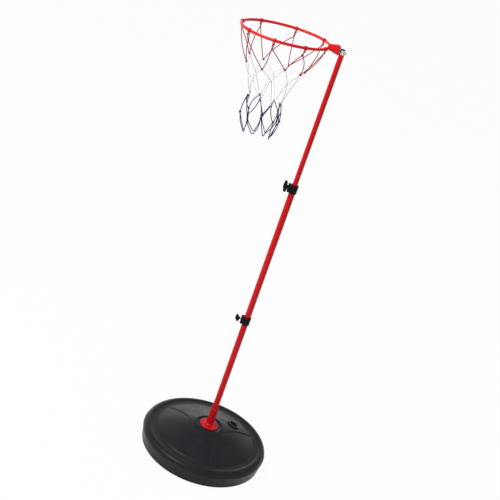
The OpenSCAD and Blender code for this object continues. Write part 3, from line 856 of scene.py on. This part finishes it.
def side_prism(name, points, width):
    """An upright outline of (x, z) points, given thickness along Y."""
    rings = [[Vector((x, y, z)) for x, z in points] for y in (-width / 2, width / 2)]
    return new_object(name, mesh_from_rings(name, rings))


def make_bracket():
    """A channel of sheet, folded over at the back, whose cheeks are welded onto the rim's rod."""
    back, top = BRACKET_HI.x, BRACKET_HI.z
    width = BRACKET_HI.y - BRACKET_LO.y
    near = RIM_C + Vector((RIM_R * math.cos(RIM_DROOP), 0, RIM_R * math.sin(RIM_DROOP)))
    foot = (back, BRACKET_LO.z)
    sheet = [foot, (back, top - FOLD_RISE), (back - FOLD_IN, top), (near.x, near.z + BRACKET_FRONT)]
    outside = rounded(sheet, BEND_R)
    bracket = side_prism("bracket_sheet", outside + [Vector((near.x, near.z))], width)
    beyond = 20 * MM
    hollow = rounded(inset(sheet, SHEET), INNER_BEND_R)
    out = (hollow[-1] - hollow[-2]).normalized() * beyond
    below = Vector((0, -beyond))
    hollow = [hollow[0] + below] + hollow + [hollow[-1] + out, hollow[-1] + out + 2 * below]
    cut(bracket, side_prism("bracket_inside", hollow, width - 2 * SHEET))
    bevel(bracket, 0.6 * MM)
    cut(bracket, cylinder_cutter("bolt_way", BOLT_HOLE_R, back - 5 * MM, back + 5 * MM, place=ALONG_BOLT))
    parts = [bracket] + weld_beads(near, width)
    dress(join("bracket_folded", parts), "hoop", rim_red, "rim_bracket", angle=30)


def weld_beads(near, width):
    """Uneven beads where the bracket's cheeks meet the rim's rod."""
    steps, start, span = 14, -12, 112
    beads = []
    for side in (-1, 1):
        path = []
        y = side * (width / 2 - 0.6 * MM)
        for i in range(steps + 1):
            a = math.radians(start + span * i / steps)
            r = ROD_R + 0.4 * MM + 0.25 * MM * math.sin(i * 2.1)
            path.append(near + Vector((r * math.cos(a) - y * y / 2 / RIM_R, y, r * math.sin(a))))
        beads.append(sweep("weld", path, 1.1 * MM, sides=10, wobble=0.25))
    return beads


def sweep(name, path, r, sides, wobble):
    """An uneven rod along a path, with rounded ends."""
    rings = [[path[0] - (path[1] - path[0]).normalized() * r * 0.8]]
    for i, p in enumerate(path):
        ahead = path[min(i + 1, len(path) - 1)]
        behind = path[max(i - 1, 0)]
        t = (ahead - behind).normalized()
        u = t.orthogonal().normalized() if i == 0 else (u - t * u.dot(t)).normalized()
        v = t.cross(u)
        here = r * (1 + wobble * math.sin(i * 1.7))
        if i in (0, len(path) - 1):
            here *= 0.7
        rings.append(section_ring(p, u, v, here, sides))
    rings.append([path[-1] + (path[-1] - path[-2]).normalized() * r * 0.8])
    return new_object(name, mesh_from_rings(name, rings))


def hex_nut(name, flat, height, bore, place):
    """A bored hexagon whose corners are turned off at both ends."""
    outer = flat / 2 / math.cos(math.pi / 6)
    nut = lathe(name, [(0, 0), (outer, 0), (outer, height), (0, height)], 6)
    chamfer = 0.06 * flat
    crown_r = flat / 2 - 0.1 * MM
    crown = lathe("nut_crown", [
        (0, 0), (crown_r, 0), (outer, chamfer), (outer, height - chamfer), (crown_r, height), (0, height),
    ], 64)
    cut(nut, crown, "INTERSECT")
    cut(nut, cylinder_cutter("nut_bore", bore, -1 * MM, height + 1 * MM))
    nut.data.transform(place)
    return nut


def make_fastener():
    """The cross bolt with its spacer, washer and nut."""
    head_r, head_t = 3.45 * MM, 2.6 * MM
    head_x = BOLT_LO.x
    shank_x = BOLT_HI.x - BOLT_THREAD
    shank = lathe("bolt_shank", rounded([
        (0, head_x), (3.1 * MM, head_x + 0.3 * MM), (head_r, head_x + 1.4 * MM), (head_r, head_x + head_t),
        (BOLT_CORE_R, head_x + head_t), (BOLT_CORE_R, shank_x), (0, shank_x),
    ], 0.6 * MM), 64, place=ALONG_BOLT)
    # The driver's slot, drawn in millimetres
    slot_cut = side_prism("slot", [(-1, -0.5), (1, -0.5), (1, 0.5), (-1, 0.5)], 8)
    slot_cut.data.transform(Matrix.Translation(BOLT_AT + Vector((head_x, 0, 0))) @ Matrix.Scale(MM, 4))
    cut(shank, slot_cut)
    thread_len = BOLT_THREAD + 0.2 * MM
    end = BOLT_AT + Vector((BOLT_HI.x - thread_len, 0, 0))
    thread = threaded_rod("bolt_thread", BOLT_R, thread_len, BOLT_PITCH, along_axis(end, (1, 0, 0)))
    dress(join("cross_bolt", [shank, thread]), "hoop", zinc, "bracket_bolt")
    for name, node, r in (("cross_spacer", "bracket_spacer", 4), ("cross_washer", "bracket_washer", 4.5)):
        lo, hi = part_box(node)
        ring = lathe(name, ring_profile(r * MM, BOLT_HOLE_R, lo.x, hi.x, 0.3 * MM), 64, True, ALONG_BOLT)
        dress(ring, "hoop", zinc, node)
    lo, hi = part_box("bracket_nut")
    place = along_axis(BOLT_AT + Vector((lo.x, 0, 0)), (1, 0, 0))
    nut = hex_nut("cross_nut", 7 * MM, hi.x - lo.x, BOLT_R + SLIP, place)
    dress(nut, "hoop", zinc, "bracket_nut")


def make_rim_spigot():
    """The plated spigot, drilled for the cross bolt, and the cap in its end."""
    foot, top = heights("rim_spigot")
    bore_r = SPIGOT_R - 1.2 * MM
    spigot = lathe("spigot_plated", ring_profile(SPIGOT_R, bore_r, foot, top, 0.4 * MM), closed=True)
    cut(spigot, cylinder_cutter("spigot_cross", BOLT_HOLE_R, -9 * MM, 9 * MM, place=ALONG_BOLT))
    dress(spigot, "hoop", zinc, "rim_spigot")
    foot, top = heights("spigot_cap")
    r = radius_of("spigot_cap")
    cap = lathe("spigot_plug", rounded([
        (0, foot), (r, foot), (r, top + 0.1 * MM), (SPIGOT_R, top + 0.1 * MM),
        (SPIGOT_R, top + 1.8 * MM), (r, top + 2.2 * MM), (0, top + 2.3 * MM),
    ], 0.3 * MM), 64)
    dress(cap, "hoop", cap_black, "spigot_cap")


def make_rim():
    ring = torus("rim_rod", RIM_R, ROD_R, 256, 28, AT_RIM)
    dress(ring, "hoop", rim_red, "rim_ring", angle=60)
    make_bracket()
    make_rim_spigot()
    make_fastener()


# Net: clips on the rim and rows of laid cord knotted into a hanging tube

# Where each clip and knot stands round the rim, in degrees. A knot hangs between two of the row above it.
NET_ANGLES = (
    (-8, 46, 94, 143, 187, 236, 275, 315),
    (17, 80, 132, 176, 217, 264, 305, 345),
    (50, 105, 155, 196, 240, 287, 330, 360),
    (70, 124, 172, 224, 274, 314, 352, 382),
    (100, 147, 196, 248, 290, 330, 365, 405),
    (120, 168, 225, 270, 312, 347, 385, 430),
)
# How deep each of them hangs below the rim, in millimetres as in the rows that follow
NET_DEPTHS = (
    (11, 11, 11, 11, 11, 11, 11, 11),
    (89, 98, 100, 84, 95, 93, 78, 89),
    (130, 130, 128, 130, 136, 120, 120, 126),
    (199, 195, 188, 186, 184, 195, 188, 197),
    (248, 240, 245, 233, 234, 238, 240, 240),
    (298, 296, 290, 283, 282, 292, 290, 292),
)
# How far each row is drawn in from the rim, how far it swings to the pole, and how loose its cords are
NET_DRAW = (0, 41, 59, 75, 68, 83)
NET_SWING = (0, 0, 0, 0, 4, 10)
NET_SLACK = (4, 3, 2, 5, 5)
CLIPS = len(NET_ANGLES[0])
# How deep below the rim each clip's two cords run together, and the clip whose cords are tied
CLIP_SPLIT = (14, 17, 24, 20, 17, 30, 26, 22)
TIED_CLIP = 7
CLIP_R = 6 * MM
CLIP_LEN = 7 * MM
EYE_R = 3.2 * MM
EYE_WIRE_R = 1.1 * MM
EYE_DROP = CLIP_R + EYE_R - 0.6 * MM
CORD_R = 1.3 * MM
# The mean of the cord's radius, and how far its strands stand out, as shares of it
CORD_BODY, CORD_LOBE = 0.96, 0.05
STRANDS = 3
LAY = 8 * MM
CORD_SIDES = 12
CORD_STEP = 1.1 * MM
KNOT_SIZE = 3.1 * MM
KNOT_CORD_R = 0.95 * CORD_R


def make_clips():
    parts = []
    for angle in NET_ANGLES[0]:
        turn = Matrix.Rotation(math.radians(angle), 4, "Z")
        place = AT_RIM @ turn @ Matrix.Translation((RIM_R, 0, 0))
        sleeve = lathe(
            "clip_sleeve",
            ring_profile(CLIP_R, ROD_R + 0.1 * MM, -CLIP_LEN / 2, CLIP_LEN / 2, 1 * MM),
            48, True, place @ Matrix.Rotation(math.pi / 2, 4, "X"),
        )
        eye_place = place @ Matrix.Translation((0, 0, -EYE_DROP)) @ Matrix.Rotation(math.pi / 2, 4, "Y")
        parts += [sleeve, torus("clip_eye", EYE_R, EYE_WIRE_R, 32, 12, eye_place)]
    dress(join("rim_clips", parts), "hoop", rim_red, "net_clips", angle=50)


def net_point(angle, r, depth, swing=0):
    """A place in the net, by its angle and radius in the rim and its depth below it."""
    x = r * math.cos(angle)
    return RIM_C + Vector((x + swing, r * math.sin(angle), x * math.tan(RIM_DROOP) - depth))


def knot_places():
    """The clips' eyes and the knots of every row, as angle, radius, depth and swing."""
    return [
        [(math.radians(a), RIM_R - draw * MM, d * MM, swing * MM) for a, d in zip(angles, depths)]
        for angles, depths, draw, swing in zip(NET_ANGLES, NET_DEPTHS, NET_DRAW, NET_SWING)
    ]


def smooth_path(points, step):
    """Evenly spaced points on a Catmull-Rom curve through the given ones."""
    parts = 24
    fine = []
    n = len(points)
    for i in range(n - 1):
        p0, p1 = points[max(i - 1, 0)], points[i]
        p2, p3 = points[i + 1], points[min(i + 2, n - 1)]
        for k in range(parts):
            t = k / parts
            fine.append(0.5 * (
                2 * p1 + (p2 - p0) * t + (2 * p0 - 5 * p1 + 4 * p2 - p3) * t * t
                + (3 * p1 - p0 - 3 * p2 + p3) * t ** 3
            ))
    fine.append(points[-1])
    out = [fine[0]]
    spare = 0
    for a, b in zip(fine, fine[1:]):
        length = (b - a).length
        while spare + length >= step:
            need = step - spare
            a = a + (b - a) * (need / length)
            length -= need
            spare = 0
            out.append(a)
        spare += length
    out.append(fine[-1])
    return out


def laid_cord(points):
    """A cord of laid strands: its section has a lobe for each, and turns along it."""
    path = smooth_path(points, CORD_STEP)
    rings = []
    u = None
    for i, p in enumerate(path):
        t = (path[min(i + 1, len(path) - 1)] - path[max(i - 1, 0)]).normalized()
        u = t.orthogonal().normalized() if u is None else (u - t * u.dot(t)).normalized()
        v = t.cross(u)
        turn = 2 * math.pi * i * CORD_STEP / LAY
        ring = []
        for a in round_angles(CORD_SIDES):
            r = CORD_R * (CORD_BODY + CORD_LOBE * math.cos(STRANDS * (a - turn)))
            ring.append(p + (u * math.cos(a) + v * math.sin(a)) * r)
        rings.append(ring)
    return new_object("strand", mesh_from_rings("strand", rings, uv=True))


def knot(at, turn):
    """A tight overhand knot, as a trefoil of the same cord."""
    steps, sides = 54, 8
    points = []
    for t in round_angles(steps):
        points.append(Vector((
            math.sin(t) + 2 * math.sin(2 * t), math.cos(t) - 2 * math.cos(2 * t), -1.1 * math.sin(3 * t)
        )) * KNOT_SIZE / 3)
    place = Matrix.Translation(at) @ Matrix.Rotation(turn, 4, "Z") @ Matrix.Rotation(math.pi / 2, 4, "X")
    rings = []
    for i, p in enumerate(points):
        t = (points[(i + 1) % steps] - points[i - 1]).normalized()
        u = (UP - t * UP.dot(t)).normalized()
        v = t.cross(u)
        rings.append(section_ring(p, u, v, KNOT_CORD_R, sides))
    obj = new_object("knot", mesh_from_rings("knot", rings, closed_path=True, uv=True))
    obj.data.transform(place)
    return obj


def strand_points(upper, lower, side, loose, late=1):
    """From a knot down to the next row's knot, with the slack of a hanging cord.

    Side is 1 where the upper knot lies at the greater angle. A cord that turns late hangs down
    before it bends to its foot.
    """
    top_shift = -side * 1.4 * MM / upper[1]
    foot_shift = side * 1.5 * MM / lower[1]
    slack = rng.uniform(-0.6, 1) * loose * MM
    sideways = rng.uniform(-1, 1) * loose * MM
    sag = rng.uniform(0, 1) * loose * MM
    points = []
    for t in (0, 0.06, 0.28, 0.5, 0.74, 0.94, 1):
        across = t ** late
        angle = (upper[0] + top_shift) * (1 - across) + (lower[0] + foot_shift) * across
        r, depth, swing = (a * (1 - t) + b * t for a, b in zip(upper[1:], lower[1:]))
        belly = math.sin(math.pi * t)
        r += belly * slack
        angle += belly * sideways / r
        depth += belly * sag
        points.append(net_point(angle, r, depth, swing))
    return points


def upper_knot(rows, row, i, side):
    """The knot above knot i of the next row, on that side."""
    index = i if side < 0 else i + 1
    angle, *rest = rows[row][index % CLIPS]
    return angle + 2 * math.pi * (index // CLIPS), *rest


def eye_turn(angle):
    """The cord's way through a clip's eye: in over its wire from outside, and out below it."""
    wire_depth = EYE_DROP + EYE_R
    reach = EYE_WIRE_R + CORD_R
    points = []
    for a in (20, 55, 90, 125, 160):
        t = math.radians(a)
        along = (a - 90) / 70 * 1.3 * MM
        depth = wire_depth - reach * math.sin(t)
        points.append(net_point(angle + along / RIM_R, RIM_R + reach * math.cos(t), depth))
    return points


def looped_cords(rows):
    """The first row: each cord runs up from one knot, through a clip's eye, and down to the next."""
    parts = []
    for i in range(CLIPS):
        clip_angle = rows[0][i][0]
        after = rows[1][i]
        before = rows[1][i - 1]
        if i == 0:
            before = (before[0] - 2 * math.pi, *before[1:])
        split_depth = CLIP_SPLIT[i] * MM
        lean = (split_depth - rows[0][i][2]) * 0.4
        split = (clip_angle, RIM_R - lean, split_depth, 0)
        up = strand_points(split, before, 1, NET_SLACK[0])[::-1]
        down = strand_points(split, after, -1, NET_SLACK[0])
        if i == TIED_CLIP:
            parts += [laid_cord(up), laid_cord(down)]
            parts.append(laid_cord([up[-1]] + eye_turn(clip_angle) + [down[0]]))
            parts.append(knot(net_point(*split), clip_angle))
        else:
            parts.append(laid_cord(up + eye_turn(clip_angle) + down))
    return parts


def knotted_cords(rows, row):
    """Two cords to each knot of the next row, from the knots on either side above it."""
    parts = []
    for i in range(CLIPS):
        for side in (-1, 1):
            upper = upper_knot(rows, row, i, side)
            parts.append(laid_cord(strand_points(upper, rows[row + 1][i], side, NET_SLACK[row])))
    return parts


def hanging_loops(rows, row):
    """The last row: each cord turns at its foot and goes up again."""
    parts = []
    for i in range(CLIPS):
        lower = rows[row + 1][i]
        down, up = (
            strand_points(upper_knot(rows, row, i, side), lower, side, NET_SLACK[row], late=2.2)
            for side in (-1, 1)
        )
        foot = net_point(lower[0], lower[1], lower[2] + 2.5 * MM, lower[3])
        parts.append(laid_cord(down[:-2] + [foot] + up[-3::-1]))
    return parts


def row_knots(rows, row):
    return [knot(net_point(*place), place[0] + rng.uniform(-0.6, 0.6)) for place in rows[row]]


def dress_cords(name, cords, material, node):
    dress(join(name, cords), "hoop", material, node, angle=60)


def make_net():
    make_clips()
    rows = knot_places()
    dress_cords("cords_red", looped_cords(rows) + row_knots(rows, 1), cord_red, "net_red")
    white = knotted_cords(rows, 1) + row_knots(rows, 2)
    dress_cords("cords_white_upper", white, cord_white, "net_white_upper")
    dress_cords("cords_white_lower", knotted_cords(rows, 2), cord_white, "net_white_lower")
    blue = row_knots(rows, 3) + knotted_cords(rows, 3) + row_knots(rows, 4)
    dress_cords("cords_blue_upper", blue, cord_blue, "net_blue_upper")
    dress_cords("cords_blue_lower", hanging_loops(rows, 4), cord_blue, "net_blue_lower")


# Floor, light and background

WORLD_LIGHT = 0.42
FLOOR_R = 30
FLOOR_GAP = 0.2 * MM
FLOOR_PALE = 0.93
# How far the floor shows as plain white. The rest of it shows the shadow.
FLOOR_WHITE = 0.96
# How bright the ceiling is in reflections, and between which upward slopes it begins
CEILING_LEVEL = 0.5
CEILING_EDGE = (0.1, 0.5)


def seen_directly(tree):
    """1 for camera, glossy and transmission rays, so that metal shows the background too."""
    link = tree.links.new
    path = add_node(tree, "LightPath")
    add = add_node(tree, "Math")
    add.operation = "ADD"
    clamp = add_node(tree, "Math")
    clamp.operation = "ADD"
    clamp.use_clamp = True
    link(path.outputs["Is Camera Ray"], add.inputs[0])
    link(path.outputs["Is Glossy Ray"], add.inputs[1])
    link(add.outputs[0], clamp.inputs[0])
    link(path.outputs["Is Transmission Ray"], clamp.inputs[1])
    return clamp.outputs[0]


def backdrop_level(tree):
    """White where the camera looks. In reflections a white backdrop stands under a darker ceiling."""
    link = tree.links.new
    direction = add_node(tree, "TexCoord")
    split = add_node(tree, "SeparateXYZ")
    low, high = CEILING_EDGE
    ceiling = add_node(tree, "MapRange", From_Min=low, From_Max=high, To_Min=1, To_Max=CEILING_LEVEL)
    ceiling.interpolation_type = "SMOOTHSTEP"
    path = add_node(tree, "LightPath")
    level = add_node(tree, "Mix", A=1)
    link(direction.outputs["Generated"], split.inputs["Vector"])
    link(split.outputs["Z"], ceiling.inputs["Value"])
    link(path.outputs["Is Glossy Ray"], level.inputs["Factor"])
    link(ceiling.outputs["Result"], level.inputs["B"])
    return level.outputs["Result"]


def make_world():
    world = bpy.data.worlds.new("studio")
    scene.world = world
    tree = empty_tree(world)
    link = tree.links.new
    output = add_node(tree, "OutputWorld")
    light = add_node(tree, "Background", Color=(1, 1, 1, 1), Strength=WORLD_LIGHT)
    backdrop = add_node(tree, "Background", Color=(1, 1, 1, 1))
    link(backdrop_level(tree), backdrop.inputs["Strength"])
    mix = add_node(tree, "MixShader")
    link(seen_directly(tree), mix.inputs["Fac"])
    link(light.outputs[0], mix.inputs[1])
    link(backdrop.outputs[0], mix.inputs[2])
    link(mix.outputs[0], output.inputs["Surface"])


def make_floor():
    bm = bmesh.new()
    bmesh.ops.create_circle(bm, cap_ends=True, radius=FLOOR_R, segments=64)
    floor = new_object("floor", mesh_of(bm, "floor"))
    floor.location.z = -FLOOR_GAP
    mat = bpy.data.materials.new("floor_pale")
    tree = empty_tree(mat)
    link = tree.links.new
    output = add_node(tree, "OutputMaterial")
    pale = add_node(tree, "BsdfDiffuse", Color=(FLOOR_PALE, FLOOR_PALE, FLOOR_PALE, 1))
    glow = add_node(tree, "Emission", Strength=1)
    share = add_node(tree, "Math")
    share.operation = "MULTIPLY"
    share.inputs[1].default_value = FLOOR_WHITE
    mix = add_node(tree, "MixShader")
    link(seen_directly(tree), share.inputs[0])
    link(share.outputs[0], mix.inputs["Fac"])
    link(pale.outputs[0], mix.inputs[1])
    link(glow.outputs[0], mix.inputs[2])
    link(mix.outputs[0], output.inputs["Surface"])
    floor.data.materials.append(mat)


def softbox(name, at, target, size, watts):
    data = bpy.data.lights.new(name, "AREA")
    data.shape = "RECTANGLE"
    data.size, data.size_y = size
    data.energy = watts
    lamp = bpy.data.objects.new(name, data)
    lamp.location = at
    lamp.rotation_euler = (Vector(target) - Vector(at)).to_track_quat("-Z", "Y").to_euler()
    scene.collection.objects.link(lamp)


def make_studio():
    make_world()
    make_floor()
    middle = (0, 0, 0.7)
    softbox("key", (-1.6, -1.3, 3.3), middle, (1.6, 2.0), 86)
    softbox("fill", (2.6, -1.4, 1.8), middle, (1.4, 2.2), 2.5)
    softbox("back", (-1.6, 2.6, 0.9), middle, (2.4, 1.0), 8)


make_base()
make_stopper()
make_pole()
make_clamps()
make_rim()
make_net()
make_studio()
